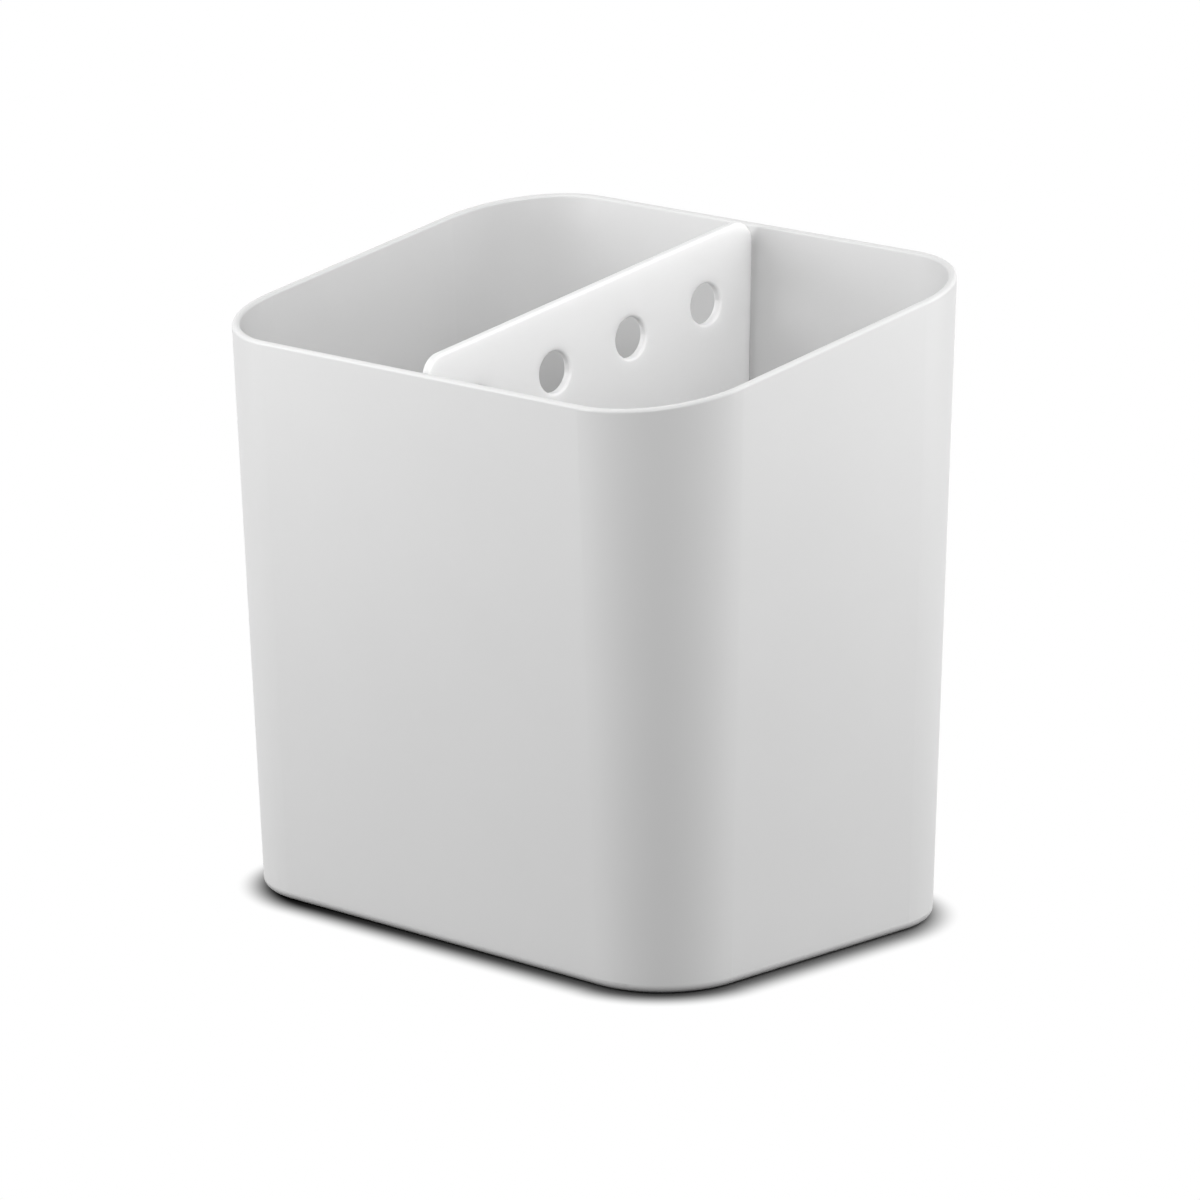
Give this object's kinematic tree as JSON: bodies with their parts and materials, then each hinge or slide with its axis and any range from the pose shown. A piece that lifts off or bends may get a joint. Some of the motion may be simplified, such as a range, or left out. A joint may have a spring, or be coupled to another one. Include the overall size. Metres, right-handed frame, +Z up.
{
  "type": "cutlery drainer",
  "caption": "Free-standing slant-topped cutlery drainer: tapered rounded tub on small feet, raised perforated drain grid and a lift-out divider with round grip holes.",
  "frame": {"origin": "on the standing surface, under the middle of the tub, at the feet's lower faces", "axes": "+X to the right across the width, +Y from the low front rim to the high back rim, +Z up"},
  "size_m": [0.1496, 0.1077, 0.1489],
  "materials": {
    "tub_plastic": "fine satin moulded plastic, pale grey-white",
    "insert_plastic": "smooth satin moulded plastic, slightly whiter and milky",
    "foot_rubber": "soft matt rubber"
  },
  "bodies": {
    "tub_and_feet": {"tub": "tub_plastic", "front_left_foot": "foot_rubber", "front_right_foot": "foot_rubber", "back_left_foot": "foot_rubber", "back_right_foot": "foot_rubber"},
    "insert_grid": {"drain_grid": "insert_plastic"},
    "divider_plate": {"divider": "insert_plastic"}
  },
  "joints": [
    {"name": "insert_lift", "type": "slide", "parent": "tub_and_feet", "child": "insert_grid", "axis": [0, 0, 1], "range_m": [0, 0.15]},
    {"name": "divider_pull", "type": "slide", "parent": "insert_grid", "child": "divider_plate", "axis": [0, 0, 1], "range_m": [0, 0.135]}
  ]
}
